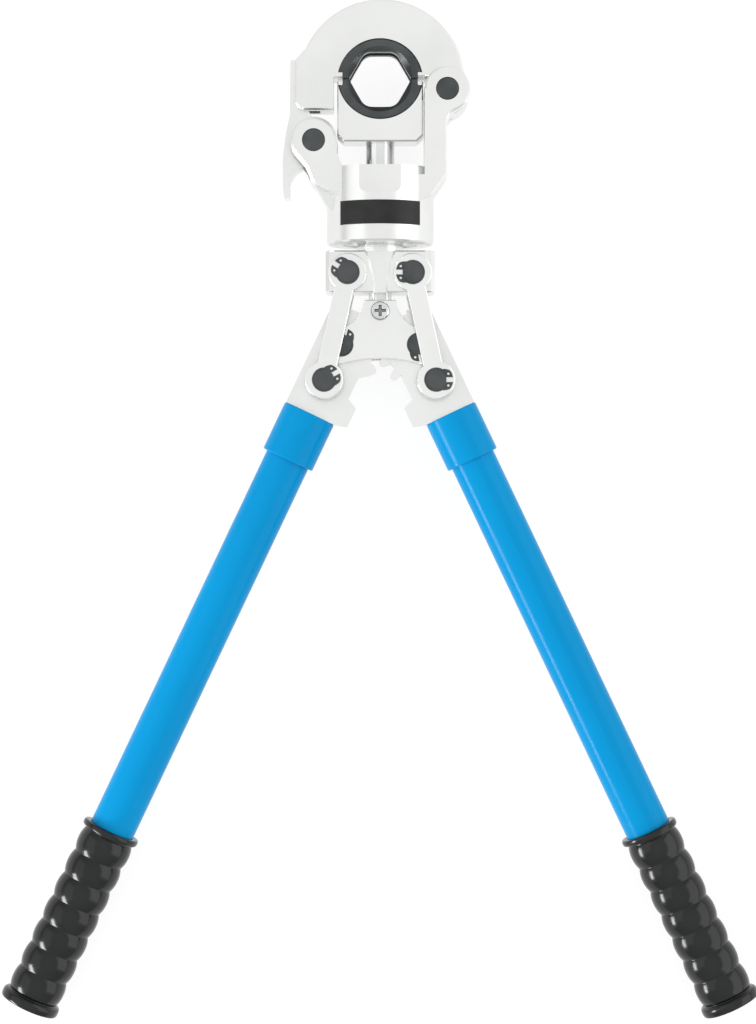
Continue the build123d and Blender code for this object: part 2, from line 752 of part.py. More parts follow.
nut_height = 5.0
with BuildPart() as plate_screw:
    with BuildSketch(Plane.XY.offset(plate_out_z)):
        with Locations((0, screw_y)):
            Circle(screw_head_radius)
    extrude(amount=screw_head_height)
    fillet(plate_screw.faces().sort_by(Axis.Z)[-1].edges(), 1.6)
    with BuildSketch(Plane.XY.offset(plate_out_z + screw_head_height)):
        with Locations((0, screw_y)):
            Rectangle(7.8, 2.1)
            Rectangle(2.1, 7.8)
            Rectangle(3.6, 3.6, rotation=45)
    extrude(amount=-2.4, taper=14, mode=Mode.SUBTRACT)
    with BuildSketch(Plane.XY.offset(plate_out_z)):
        with Locations((0, screw_y)):
            Circle(screw_radius)
    extrude(amount=-(2 * plate_out_z + nut_height + 1))
export(plate_screw, "plate_screw")

with BuildPart() as plate_nut:
    with BuildSketch(Plane.XY.offset(-plate_out_z)):
        with Locations((0, screw_y)):
            RegularPolygon(5.0, 6, major_radius=False)
            Circle(screw_radius, mode=Mode.SUBTRACT)
    extrude(amount=-nut_height)
export(plate_nut, "plate_nut")


# Pins and circlips of the linkage
groove_slack = 0.1


def grooved_pin(x, y, clip_z):
    """A round pin along Z with a circlip groove outside each clip height."""
    tip = clip_z + circlip_thickness + pin_end
    with BuildSketch(Plane.XY.offset(-tip)) as shank:
        with Locations((x, y)):
            Circle(pin_radius)
    extrude(shank.sketch, amount=2 * tip)
    for face in (-1, 1):
        with BuildSketch(Plane.XY.offset(face * (clip_z - groove_slack))) as groove:
            with Locations((x, y)):
                Circle(pin_radius + 1)
                Circle(pin_radius - groove_depth, mode=Mode.SUBTRACT)
        extrude(groove.sketch, amount=face * (circlip_thickness + 2 * groove_slack), mode=Mode.SUBTRACT)


def circlip(x, y, z, gap_angle):
    """An open retaining ring with two pierced lugs beside its gap."""
    inner = pin_radius - groove_depth
    outer = inner + circlip_width
    lug_at = outer + circlip_lug_reach
    lug_turn = degrees((circlip_lug_radius + 0.9) / lug_at)
    with BuildSketch(Plane.XY.offset(z)) as ring:
        with Locations((x, y)):
            Circle(outer)
        for turn in (-lug_turn, lug_turn):
            angle = radians(gap_angle + turn)
            with Locations((x + lug_at * cos(angle), y + lug_at * sin(angle))):
                Circle(circlip_lug_radius)
        with Locations((x, y)):
            Circle(inner, mode=Mode.SUBTRACT)
        middle = radians(gap_angle)
        with Locations(Location((x + outer * cos(middle), y + outer * sin(middle), 0), (0, 0, gap_angle))):
            Rectangle(10, 1.6, mode=Mode.SUBTRACT)
        for turn in (-lug_turn, lug_turn):
            angle = radians(gap_angle + turn)
            with Locations((x + lug_at * cos(angle), y + lug_at * sin(angle))):
                Circle(0.8, mode=Mode.SUBTRACT)
    extrude(ring.sketch, amount=circlip_thickness)


link_clip_z = link_out_z + running_gap
plate_clip_z = plate_out_z + 0.2

with BuildPart() as block_pins:
    for side in (-1, 1):
        grooved_pin(side * link_pin_x, link_pin_y, link_clip_z)
export(block_pins, "block_pins")

with BuildPart() as block_circlips:
    for side, gap_angle in ((-1, 145), (1, 180)):
        circlip(side * link_pin_x, link_pin_y, link_clip_z, gap_angle)
        circlip(side * link_pin_x, link_pin_y, -link_clip_z - circlip_thickness, gap_angle)
export(block_circlips, "block_circlips")

with BuildPart() as plate_pins:
    for side in (-1, 1):
        grooved_pin(side * plate_pin_x, plate_pin_y, plate_clip_z)
export(plate_pins, "plate_pins")

with BuildPart() as plate_circlips:
    for side, gap_angle in ((-1, 75), (1, -80)):
        circlip(side * plate_pin_x, plate_pin_y, plate_clip_z, gap_angle)
        circlip(side * plate_pin_x, plate_pin_y, -plate_clip_z - circlip_thickness, gap_angle)
export(plate_circlips, "plate_circlips")


# Links: a front and a back one on each side, from the block to the arms
def link_layout(side):
    """Plane on the upper pivot of a link, first axis towards its lower pivot."""
    start = Vector(side * link_pin_x, link_pin_y, 0)
    end = Vector(side * arm_pin_x, arm_pin_y, 0)
    return Plane(origin=start, x_dir=end - start, z_dir=(0, 0, 1)), (end - start).length


for side_name, side, gap_angle in (("left", -1, 30), ("right", 1, 0)):
    for face_name, face in (("front", 1), ("back", -1)):
        link_plane, link_length = link_layout(side)
        with BuildPart() as link:
            with BuildSketch(link_plane.offset(face * link_in_z)) as link_outline:
                with Locations((link_length / 2, 0)):
                    Rectangle(link_length, link_waist)
                with Locations((0, 0), (link_length, 0)):
                    Circle(link_end_radius)
                middle = link_plane.offset(face * link_in_z).origin + link_plane.x_dir * (link_length / 2)
                waist = link_outline.vertices().filter_by(lambda v: v.distance_to(middle) < link_length / 2 - 5)
                fillet(waist, link_waist_fillet)
            extrude(amount=face * link_thickness)
            outer_face = link.faces().filter_by(Axis.Z).sort_by(Axis.Z)[-1 if face > 0 else 0]
            fillet(outer_face.edges(), 0.9)
            with BuildSketch(Plane.XY.offset(face * plate_in_z)):
                with Locations((side * arm_pin_x, arm_pin_y)):
                    Circle(link_boss_radius)
            extrude(amount=face * (link_in_z - plate_in_z))
            with BuildSketch(Plane.XY.offset(face * plate_in_z)):
                with Locations((side * arm_pin_x, arm_pin_y)):
                    Circle(pin_radius)
                with Locations((side * link_pin_x, link_pin_y)):
                    Circle(pin_radius + pin_gap)
            extrude(amount=face * link_out_z, mode=Mode.SUBTRACT)
        export(link, f"{side_name}_{face_name}_link")
    with BuildPart() as arm_pin:
        grooved_pin(side * arm_pin_x, arm_pin_y, link_clip_z)
    export(arm_pin, f"{side_name}_arm_pin")
    with BuildPart() as arm_circlips:
        circlip(side * arm_pin_x, arm_pin_y, link_clip_z, gap_angle)
        circlip(side * arm_pin_x, arm_pin_y, -link_clip_z - circlip_thickness, gap_angle)
    export(arm_circlips, f"{side_name}_circlips")


# Handle arms with gear teeth that mesh on the tool's centre line
tooth_pitch = 360 / teeth_in_circle
tooth_tip = plate_pin_x + tooth_addendum
tooth_root = plate_pin_x - tooth_dedendum
base_circle = plate_pin_x * cos(radians(pressure_angle))
open_pivot_slack = 0.9


def involute(angle):
    return tan(angle) - angle


def tooth_half_angle(radius):
    """Half of a tooth's angle at a radius, from the involute of its base circle."""
    pitch_half = pi / (2 * teeth_in_circle) - tooth_thinning / (2 * plate_pin_x)
    roll = involute(radians(pressure_angle)) - involute(acos(min(1, base_circle / radius)))
    return pitch_half + roll


def tooth_face(angle):
    """Outline of one tooth pointing along an angle of the arm's plane."""
    foot = tooth_root - 1.5
    middle = (base_circle + tooth_tip) / 2

    def point(radius, turn):
        return (radius * cos(angle + turn), radius * sin(angle + turn))

    flank = tooth_half_angle(base_circle)
    middle_turn = tooth_half_angle(middle)
    tip_turn = tooth_half_angle(tooth_tip)
    with BuildLine() as outline:
        Line(point(foot, -flank), point(base_circle, -flank))
        ThreePointArc(point(base_circle, -flank), point(middle, -middle_turn), point(tooth_tip, -tip_turn))
        ThreePointArc(point(tooth_tip, -tip_turn), point(tooth_tip, 0), point(tooth_tip, tip_turn))
        ThreePointArc(point(tooth_tip, tip_turn), point(middle, middle_turn), point(base_circle, flank))
        Line(point(base_circle, flank), point(foot, flank))
        Line(point(foot, flank), point(foot, -flank))
    make_face(outline.edges())


mesh_angle = 90 + open_angle
for side_name, side, first_tooth, last_tooth in (("left", -1, -1.5, 1.5), ("right", 1, -2, 2)):
    plane = handle_plane(side)
    with BuildPart() as arm:
        with BuildSketch(plane.offset(-arm_half)) as arm_outline:
            Circle(tooth_root)
            tooth = first_tooth
            while tooth <= last_tooth:
                tooth_face(radians(mesh_angle + tooth * tooth_pitch))
                tooth += 1
            head_start = mesh_angle + (last_tooth + 0.75) * tooth_pitch
            head_end = 180 + degrees(acos(0)) - degrees(acos(arm_outer_v / arm_head_radius))
            with BuildLine():
                CenterArc((0, 0), arm_head_radius, head_start, head_end - head_start)
                head_corner = (
                    arm_head_radius * cos(radians(head_end)),
                    arm_head_radius * sin(radians(head_end)),
                )
                head_top = (
                    arm_head_radius * cos(radians(head_start)),
                    arm_head_radius * sin(radians(head_start)),
                )
                Polyline(head_corner, (0, -arm_outer_v), (0, 0), head_top)
            make_face()
            with BuildLine():
                Polyline(
                    (-8, -arm_outer_v),
                    (arm_plate_end, -arm_outer_v),
                    (arm_plate_end, sleeve_radius),
                    (arm_plate_end - 2.6, arm_foot_v),
                    (35.6, arm_foot_v),
                    (32.1, arm_relief_v),
                    (15.3, arm_relief_v),
                    (9.9, arm_foot_v - 0.5 if side < 0 else arm_relief_v),
                    (7.5, arm_foot_v - 0.5 if side < 0 else arm_relief_v),
                    (0, 0),
                    (-8, 0),
                    close=True,
                )
            make_face()
            with Locations((0, -arm_outer_v)):
                Rectangle(
                    4 * arm_head_radius,
                    arm_head_radius,
                    align=(Align.CENTER, Align.MAX),
                    mode=Mode.SUBTRACT,
                )
        extrude(amount=arm_thickness)
        head_reach = sqrt(arm_head_radius**2 - arm_outer_v**2)
        head_edges = arm.edges().filter_by(Axis.Z)
        corner = plane.from_local_coords((-head_reach, -arm_outer_v, 0))
        head_edge = head_edges.sort_by(lambda e: hypot(e.center().X - corner.X, e.center().Y - corner.Y))[0]
        fillet(head_edge, arm_head_fillet)
        with BuildSketch(handle_section(side, arm_plate_end)):
            Circle(tube_radius - tube_wall)
        extrude(amount=shank_length)
        with BuildSketch(plane.offset(-arm_half)):
            Circle(pin_radius + pin_gap)
            with Locations((arm_throw, 0)):
                Circle(pin_radius + open_pivot_slack)
        extrude(amount=arm_thickness, mode=Mode.SUBTRACT)
    export(arm, f"{side_name}_arm")

    with BuildPart() as sleeve:
        with BuildSketch(handle_section(side, arm_plate_end)):
            Circle(sleeve_radius)
            Circle(tube_radius, mode=Mode.SUBTRACT)
        extrude(amount=sleeve_length)
        outer_rims = sleeve.edges().filter_by(GeomType.CIRCLE).filter_by(
            lambda e: e.radius > sleeve_radius - 0.1
        )
        chamfer(outer_rims, 0.8)
    export(sleeve, f"{side_name}_sleeve")

    grip_start = arm_plate_end + sleeve_length + tube_visible
    grip_length = grip_collar + grip_rings * grip_ring_pitch + grip_flange
    tube_end = grip_start + grip_length - grip_end_wall
    with BuildPart() as tube:
        with BuildSketch(handle_section(side, arm_plate_end)):
            Circle(tube_radius)
            Circle(tube_radius - tube_wall, mode=Mode.SUBTRACT)
        extrude(amount=tube_end - arm_plate_end)
    export(tube, f"{side_name}_tube")

    section = handle_section(side, grip_start)
    profile_plane = Plane(origin=section.origin, x_dir=section.z_dir, z_dir=(0, 0, 1))
    with BuildPart() as grip:
        with BuildSketch(profile_plane):
            with BuildLine():
                Line((0, tube_radius), (0, grip_collar_radius - 1))
                ThreePointArc(
                    (0, grip_collar_radius - 1),
                    (grip_collar * 0.4, grip_collar_radius),
                    (grip_collar, grip_valley_radius),
                )
                for ring in range(grip_rings):
                    start = grip_collar + ring * grip_ring_pitch
                    ThreePointArc(
                        (start, grip_valley_radius),
                        (start + grip_ring_pitch / 2, grip_crest_radius),
                        (start + grip_ring_pitch, grip_valley_radius),
                    )
                flange_start = grip_collar + grip_rings * grip_ring_pitch
                Polyline(
                    (flange_start, grip_valley_radius),
                    (flange_start + 1.5, grip_flange_radius),
                    (grip_length - 2, grip_flange_radius),
                )
                ThreePointArc(
                    (grip_length - 2, grip_flange_radius),
                    (grip_length - 0.6, grip_flange_radius - 0.6),
                    (grip_length, grip_flange_radius - 2),
                )
                Polyline(
                    (grip_length, grip_flange_radius - 2),
                    (grip_length, 0),
                    (grip_length - grip_end_wall, 0),
                    (grip_length - grip_end_wall, tube_radius),
                    (0, tube_radius),
                )
            make_face()
        revolve(axis=Axis(section.origin, section.z_dir))
    export(grip, f"{side_name}_grip")
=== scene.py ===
"""Looks of the pipe crimping tool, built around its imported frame. Metres, as in the frame."""

import json
from math import asin, cos, pi, radians, sin, sqrt

import bmesh
import bpy
from mathutils import Matrix, Vector


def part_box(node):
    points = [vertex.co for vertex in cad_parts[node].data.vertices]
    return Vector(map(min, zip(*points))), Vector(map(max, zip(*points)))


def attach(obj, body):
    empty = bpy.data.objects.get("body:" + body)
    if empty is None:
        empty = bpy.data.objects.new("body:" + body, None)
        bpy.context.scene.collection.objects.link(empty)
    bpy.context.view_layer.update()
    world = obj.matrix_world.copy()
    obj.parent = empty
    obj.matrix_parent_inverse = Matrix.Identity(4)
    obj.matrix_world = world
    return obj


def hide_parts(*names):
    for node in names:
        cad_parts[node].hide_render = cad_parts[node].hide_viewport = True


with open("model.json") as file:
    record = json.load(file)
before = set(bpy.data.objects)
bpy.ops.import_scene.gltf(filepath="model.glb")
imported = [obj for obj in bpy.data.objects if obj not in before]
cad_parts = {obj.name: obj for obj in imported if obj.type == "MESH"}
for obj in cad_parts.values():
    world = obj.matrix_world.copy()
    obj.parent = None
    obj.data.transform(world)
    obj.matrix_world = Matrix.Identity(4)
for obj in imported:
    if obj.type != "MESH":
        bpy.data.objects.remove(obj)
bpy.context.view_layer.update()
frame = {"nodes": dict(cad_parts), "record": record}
nodes = frame["nodes"]
scene = bpy.context.scene


# Camera: straight above the tool, as in the photograph
camera_x = -0.0015
camera_y = -0.3022
camera_height = 1.931
camera_reach = 20.0
lens_mm = 96.66
sensor_mm = 36.0

camera_data = bpy.data.cameras.new("camera")
camera_data.sensor_fit = "VERTICAL"
camera_data.sensor_height = sensor_mm
camera_data.lens = lens_mm
camera_data.clip_end = camera_reach
camera = bpy.data.objects.new("camera", camera_data)
camera.location = (camera_x, camera_y, camera_height)
scene.collection.objects.link(camera)
scene.camera = camera


# Materials
millimetre = 0.001
metal_patches = (18, 4)
metal_grain_detail = 5
metal_grain_roughness = 0.6
metal_lift = 0.4


def grey(level):
    return (level, level, level, 1)


def add_node(tree, kind, **settings):
    """A node with its inputs or its settings filled in by name."""
    node = tree.nodes.new(kind)
    for key, value in settings.items():
        if key in node.inputs:
            node.inputs[key].default_value = value
        else:
            setattr(node, key, value)
    return node


def noise(tree, scale, detail, roughness=0.5, stretch=(1, 1, 1)):
    """Noise over the object's own coordinates, stretched along its axes."""
    place = add_node(tree, "ShaderNodeTexCoord")
    mapping = add_node(tree, "ShaderNodeMapping", Scale=stretch)
    texture = add_node(tree, "ShaderNodeTexNoise", Scale=scale, Detail=detail, Roughness=roughness)
    tree.links.new(place.outputs["Object"], mapping.inputs["Vector"])
    tree.links.new(mapping.outputs["Vector"], texture.inputs["Vector"])
    return texture.outputs["Fac"]


def ramp(tree, value, low, high, low_at=0.35, high_at=0.65):
    """A colour between two others, as the value runs from one place to another."""
    node = add_node(tree, "ShaderNodeValToRGB")
    stops = node.color_ramp.elements
    stops[0].position, stops[0].color = low_at, low
    stops[1].position, stops[1].color = high_at, high
    tree.links.new(value, node.inputs["Fac"])
    return node.outputs["Color"]


def surface(
    name,
    colours,
    patches,
    roughness,
    grain,
    bumps=None,
    depth_mm=0.0,
    lift=0.0,
    metallic=0.0,
    specular=0.5,
):
    """A material in patches of two colours, with grain in its roughness and a shallow bump.

    Patches, grain and bumps are the arguments of a noise: its scale, its detail, and if need be
    its roughness and stretch. Lift is the strength of the bump, and depth its height.
    """
    material = bpy.data.materials.new(name)
    material.use_nodes = True
    tree = material.node_tree
    shader = tree.nodes["Principled BSDF"]
    shader.inputs["Metallic"].default_value = metallic
    shader.inputs["Specular IOR Level"].default_value = specular
    smooth, rough = roughness
    colour = ramp(tree, noise(tree, *patches), *colours)
    dullness = ramp(tree, noise(tree, *grain), grey(smooth), grey(rough))
    tree.links.new(colour, shader.inputs["Base Color"])
    tree.links.new(dullness, shader.inputs["Roughness"])
    if bumps:
        bump = add_node(tree, "ShaderNodeBump", Strength=lift, Distance=depth_mm * millimetre)
        tree.links.new(noise(tree, *bumps), bump.inputs["Height"])
        tree.links.new(bump.outputs["Normal"], shader.inputs["Normal"])
    return material


def metal(name, colours, roughness, grain_scale, depth_mm, stretch=(1, 1, 1)):
    """Bare or plated metal, with one grain in its roughness and its bump."""
    grain = (grain_scale, metal_grain_detail, metal_grain_roughness, stretch)
    return surface(
        name,
        colours=colours,
        patches=metal_patches,
        roughness=roughness,
        grain=grain,
        bumps=grain,
        depth_mm=depth_mm,
        lift=metal_lift,
        metallic=1.0,
    )


def zinc_with_painted_recess_shade(box, below_top):
    """Zinc with painted shade in the screw's cross and round its rim, from a little below the head's top.
    """
    # Painted shade: a dark colour stands for the shade in the screw's cross recess and round its rim.
    painted_recess_shade_colour = (0.27, 0.275, 0.275, 1)
    blend = 0.002
    material = surface(
        "zinc_with_painted_recess_shade",
        colours=((0.60, 0.62, 0.63, 1), (0.74, 0.76, 0.76, 1)),
        patches=(120, 4),
        roughness=(0.20, 0.30),
        grain=(300, 3),
        metallic=1.0,
    )
    tree = material.node_tree
    base = tree.nodes["Principled BSDF"].inputs["Base Color"]
    place = add_node(tree, "ShaderNodeTexCoord")
    split = add_node(tree, "ShaderNodeSeparateXYZ")
    mix = add_node(tree, "ShaderNodeMix", data_type="RGBA")
    factor, bright, dark = mix.inputs["Factor"], mix.inputs[6], mix.inputs[7]
    edge = 1 - below_top / (box[1][2] - box[0][2])
    dark.default_value = painted_recess_shade_colour
    tree.links.new(place.outputs["Generated"], split.inputs[0])
    tree.links.new(ramp(tree, split.outputs["Z"], grey(1.0), grey(0.0), edge - blend, edge), factor)
    tree.links.new(base.links[0].from_socket, bright)
    tree.links.new(mix.outputs[2], base)
    return material


finishes = {
    "nickel": metal(
        "satin_nickel",
        colours=((0.80, 0.81, 0.795, 1), (0.85, 0.86, 0.845, 1)),
        roughness=(0.22, 0.29),
        grain_scale=40,
        depth_mm=0.012,
    ),
    "ground_steel": metal(
        "turned_steel",
        colours=((0.66, 0.67, 0.665, 1), (0.78, 0.79, 0.785, 1)),
        roughness=(0.16, 0.24),
        grain_scale=60,
        depth_mm=0.01,
        stretch=(1, 12, 1),
    ),
    "zinc": metal(
        "bright_zinc",
        colours=((0.62, 0.64, 0.65, 1), (0.80, 0.82, 0.82, 1)),
        roughness=(0.14, 0.24),
        grain_scale=120,
        depth_mm=0.01,
    ),
    "black_oxide": surface(
        "black_oxide",
        colours=((0.050, 0.056, 0.058, 1), (0.078, 0.084, 0.087, 1)),
        patches=(60, 4),
        roughness=(0.26, 0.36),
        grain=(200, 3),
        bumps=(200, 3),
        depth_mm=0.01,
        lift=0.1,
        metallic=0.6,
    ),
    "bronze": metal(
        "bearing_bronze",
        colours=((0.42, 0.25, 0.09, 1), (0.58, 0.37, 0.16, 1)),
        roughness=(0.28, 0.40),
        grain_scale=90,
        depth_mm=0.01,
    ),
    "plate_black": surface(
        "plate_black",
        colours=((0.010, 0.010, 0.011, 1), (0.018, 0.018, 0.019, 1)),
        patches=(80, 3),
        roughness=(0.34, 0.44),
        grain=(300, 3, 0.5, (1, 8, 1)),
        specular=0.3,
    ),
    "blue_paint": surface(
        "blue_paint",
        colours=((0.0, 0.266, 0.580, 1), (0.0, 0.284, 0.610, 1)),
        patches=(9, 3),
        roughness=(0.16, 0.24),
        grain=(40, 4),
        bumps=(150, 2),
        depth_mm=0.05,
        lift=0.08,
        specular=0.08,
    ),
    "grip_rubber": surface(
        "grip_rubber",
        colours=((0.0015, 0.002, 0.002, 1), (0.004, 0.005, 0.005, 1)),
        patches=(50, 4),
        roughness=(0.15, 0.20),
        grain=(300, 3),
        bumps=(300, 3),
        depth_mm=0.01,
        lift=0.02,
        specular=0.42,
    ),
}
cast_nickel = metal(
    "cast_nickel",
    colours=((0.79, 0.80, 0.785, 1), (0.85, 0.86, 0.845, 1)),
    roughness=(0.25, 0.33),
    grain_scale=26,
    depth_mm=0.04,
)
screw_recess = 0.0004
# The plate screw gets painted shade below its head's top.
special_finishes = {"plate_screw": zinc_with_painted_recess_shade(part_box("plate_screw"), screw_recess)}
for cast_node in ("yoke", "c_frame", "latch", "left_arm", "right_arm"):
    special_finishes[cast_node] = cast_nickel

slots = {part["node"]: part["material_slot"] for part in frame["record"]["subparts"]}
for name, node in nodes.items():
    node.data.materials.clear()
    node.data.materials.append(special_finishes.get(name, finishes[slots[name]]))


# Handle pose and the pins that the grips and circlips are placed from
open_angle = radians(25.4)
pivot_x = 0.0270
pivot_y = -0.1855
arm_throw = 0.0277
arm_pin_x = pivot_x + arm_throw * sin(open_angle)
arm_pin_y = pivot_y - arm_throw * cos(open_angle)
link_pin_x = 0.0226
link_pin_y = -0.1360
pivot_to_sleeve = 0.0526
sleeve_length = 0.036
tube_length = 0.2872
grip_from_pivot = pivot_to_sleeve + sleeve_length + tube_length


# Grips: moulded rings between a rolled collar and an end flange
grip_rings = 7
grip_pitch = 0.0178
grip_valley = 0.0174
grip_crest = 0.0193
ring_squareness = 2.2
grip_collar = 0.005
grip_collar_radius = 0.0206
grip_flange = 0.007
grip_flange_radius = 0.0212
bead_squareness = 3
bead_overlap = 0.0003
collar_start = -0.0008
collar_wander = 0.0005
collar_wander_turn = 0.8
collar_lip = 0.00015
first_ring_start = grip_collar + 0.0002
flange_past_end = 0.0014
flange_rounding = 0.84
end_radius = grip_flange_radius * flange_rounding
end_dome = 0.0006
end_shares = (0.97, 0.9, 0.75, 0.5, 0.25, 0.08)
grip_bore = 0.0161
grip_end_wall = 0.004
grip_length = grip_collar + grip_rings * grip_pitch + grip_flange
grip_around = 128
grip_steps = 400
grip_turns = [2 * pi * i / grip_around for i in range(grip_around)]


def ring_radius(along):
    """Radius of the grip between its collars: barrels with sharp valleys."""
    place = ((along - grip_collar) / grip_pitch) % 1.0 - 0.5
    return grip_valley + (grip_crest - grip_valley) * (1 - abs(2 * place) ** ring_squareness)


def bead(along, start, end, crest):
    """Radius of a rounded bead between two places."""
    middle = (start + end) / 2
    half = (end - start) / 2
    reach = max(0.0, 1 - (abs(along - middle) / half) ** bead_squareness)
    return grip_valley + (crest - grip_valley) * sqrt(reach)


def grip_radius(along, turn):
    """Radius of the grip anywhere. The rolled collar wanders a little."""
    collar_end = grip_collar + collar_wander * sin(2 * turn + collar_wander_turn)
    flange_start = grip_length - grip_flange
    if along < collar_end:
        lip = grip_collar_radius + collar_lip * sin(3 * turn)
        return bead(along, collar_start, collar_end + bead_overlap, lip)
    if along > flange_start:
        flange_end = grip_length + flange_past_end
        return bead(along, flange_start - bead_overlap, flange_end, grip_flange_radius)
    return ring_radius(max(along, first_ring_start))


def grip_rows():
    """Places along the grip with their radii: the bore's mouth, the outside, then the bore's bottom."""
    rows = [(0.0, [grip_bore] * grip_around), (0.0, [grip_valley] * grip_around)]
    for step in range(grip_steps + 1):
        along = grip_length * step / grip_steps
        rows.append((along, [grip_radius(along, turn) for turn in grip_turns]))
    for share in end_shares:
        along = grip_length + end_dome * (1 - share**2)
        rows.append((along, [end_radius * share] * grip_around))
    rows.append((grip_length - grip_end_wall, [grip_bore] * grip_around))
    return rows


def join_rows(lower, upper):
    """Faces between two rows of points, each given by the number of its first point."""
    faces = []
    for i in range(grip_around):
        j = (i + 1) % grip_around
        faces.append((lower + i, lower + j, upper + j, upper + i))
    return faces


def make_grip(side_name, side):
    axis = Vector((side * sin(open_angle), -cos(open_angle), 0))
    across = Vector((0, 0, 1))
    sideways = across.cross(axis)
    start = Vector((side * pivot_x, pivot_y, 0)) + axis * grip_from_pivot
    points = []
    for along, radii in grip_rows():
        for turn, radius in zip(grip_turns, radii):
            points.append(start + axis * along + (across * cos(turn) + sideways * sin(turn)) * radius)
    *outside, bore_bottom = range(0, len(points), grip_around)
    faces = []
    for lower, upper in zip(outside, outside[1:]):
        faces += join_rows(lower, upper)
    faces.append(tuple(outside[-1] + i for i in range(grip_around)))
    faces += join_rows(bore_bottom, outside[0])
    faces.append(tuple(bore_bottom + i for i in reversed(range(grip_around))))
    mesh = bpy.data.meshes.new(f"{side_name}_grip_skin")
    mesh.from_pydata([tuple(point) for point in points], [], faces)
    mesh.validate()
    mesh.shade_smooth()
    grip = bpy.data.objects.new(f"{side_name}_grip_skin", mesh)
    scene.collection.objects.link(grip)
    grip.data.materials.append(finishes["grip_rubber"])
    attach(grip, f"{side_name}_handle")
    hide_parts(f"{side_name}_grip")


for side_name, side in (("left", -1), ("right", 1)):
    make_grip(side_name, side)


# Circlips: the ears run out of the ring in tapered webs
clip_inner = 0.0064
clip_outer = 0.0084
clip_reach = 0.0117
clip_gap_half = 0.0017
clip_ear_full = radians(36)
clip_ear_end = radians(60)
clip_ear_fall = 0.0005
clip_ear_squareness = 4
clip_hole = 0.00085
clip_hole_at = 0.0093
clip_hole_turn = radians(26)
clip_thickness = 0.001
clip_edge = 0.00012
clip_sharp_turn = radians(60)
clip_level = 1e-6
clip_outer_steps = 60
clip_inner_steps = 30
clip_hole_steps = 20
link_clip_z = 0.0269
plate_clip_z = 0.0155


def clip_radius(turn):
    """Outer radius of a circlip whose gap points along +X, at a turn from the gap."""
    if turn < clip_ear_full:
        return clip_reach - clip_ear_fall * (turn / clip_ear_full) ** clip_ear_squareness
    left = (clip_ear_end - turn) / (clip_ear_end - clip_ear_full)
    return max(clip_outer, clip_outer + (clip_reach - clip_ear_fall - clip_outer) * left)


def clip_side(first, steps, radius_at):
    """Points from one side of the gap round to the other, on the radius that each turn has."""
    turns = [first + (pi - first) * (i / steps) for i in range(steps + 1)]
    upper = [(radius_at(turn) * cos(turn), radius_at(turn) * sin(turn)) for turn in turns]
    return upper + [(x, -y) for x, y in reversed(upper[:-1])]


def clip_outline():
    """Points of the open ring, counter-clockwise from the upper side of the gap."""
    outer = clip_side(asin(clip_gap_half / clip_reach), clip_outer_steps, clip_radius)
    inner = clip_side(asin(clip_gap_half / clip_inner), clip_inner_steps, lambda turn: clip_inner)
    return outer + inner[::-1]


def clip_hole_points(side):
    """Points of one ear's hole."""
    x = clip_hole_at * cos(clip_hole_turn)
    y = side * clip_hole_at * sin(clip_hole_turn)
    turns = [2 * pi * i / clip_hole_steps for i in range(clip_hole_steps)]
    return [(x + clip_hole * cos(turn), y + clip_hole * sin(turn)) for turn in turns]


def add_clip(mesh, x, y, z, gap):
    """One circlip in a mesh: its filled outline thickened, with its edges broken."""
    clip = bmesh.new()
    for loop in (clip_outline(), clip_hole_points(1), clip_hole_points(-1)):
        corners = [clip.verts.new((px, py, 0)) for px, py in loop]
        for a, b in zip(corners, corners[1:] + corners[:1]):
            clip.edges.new((a, b))
    bmesh.ops.triangle_fill(clip, use_beauty=True, edges=clip.edges[:])
    grown = bmesh.ops.extrude_face_region(clip, geom=clip.faces[:])["geom"]
    top = [item for item in grown if isinstance(item, bmesh.types.BMVert)]
    bmesh.ops.translate(clip, verts=top, vec=(0, 0, clip_thickness))
    bmesh.ops.recalc_face_normals(clip, faces=clip.faces[:])
    inner_edges = [e for e in clip.edges if len(e.link_faces) == 2]
    sharp = [e for e in inner_edges if e.calc_face_angle() > clip_sharp_turn]
    rims = [e for e in sharp if abs(e.verts[0].co.z - e.verts[1].co.z) < clip_level]
    bmesh.ops.bevel(clip, geom=rims, offset=clip_edge, segments=1, affect="EDGES")
    bmesh.ops.rotate(clip, verts=clip.verts[:], cent=(0, 0, 0), matrix=Matrix.Rotation(gap, 3, "Z"))
    bmesh.ops.translate(clip, verts=clip.verts[:], vec=(x, y, z))
    part = bpy.data.meshes.new("clip")
    clip.to_mesh(part)
    clip.free()
    mesh.from_mesh(part)
    bpy.data.meshes.remove(part)


def make_circlips(node, body, clip_z, places):
    """The circlips of one node, in front and behind, at pins given as x, y and the gap's angle."""
    joined = bmesh.new()
    for x, y, gap in places:
        for z in (clip_z, -clip_z - clip_thickness):
            add_clip(joined, x, y, z, radians(gap))
    mesh = bpy.data.meshes.new(f"{node}_eared")
    joined.to_mesh(mesh)
    joined.free()
    clips = bpy.data.objects.new(f"{node}_eared", mesh)
    scene.collection.objects.link(clips)
    clips.data.materials.append(finishes["black_oxide"])
    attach(clips, body)
    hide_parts(node)


block_places = ((-link_pin_x, link_pin_y, 147), (link_pin_x, link_pin_y, 180))
plate_places = ((-pivot_x, pivot_y, 75), (pivot_x, pivot_y, -80))
make_circlips("block_circlips", "block", link_clip_z, block_places)
make_circlips("left_circlips", "left_link", link_clip_z, ((-arm_pin_x, arm_pin_y, 30),))
make_circlips("right_circlips", "right_link", link_clip_z, ((arm_pin_x, arm_pin_y, 0),))
make_circlips("plate_circlips", "press_rod", plate_clip_z, plate_places)


# Floor: touches the yoke's lower rim and the grips' end flanges
rest_near = Vector((0, -0.115, -0.0375))
rest_far = Vector((0, -0.6493, -0.0212))
floor_tilt = (rest_far.z - rest_near.z) / (rest_far.y - rest_near.y)
floor_half = 6.0
floor_white = 0.80
floor_shaded = 0.22
floor_glow = 0.84


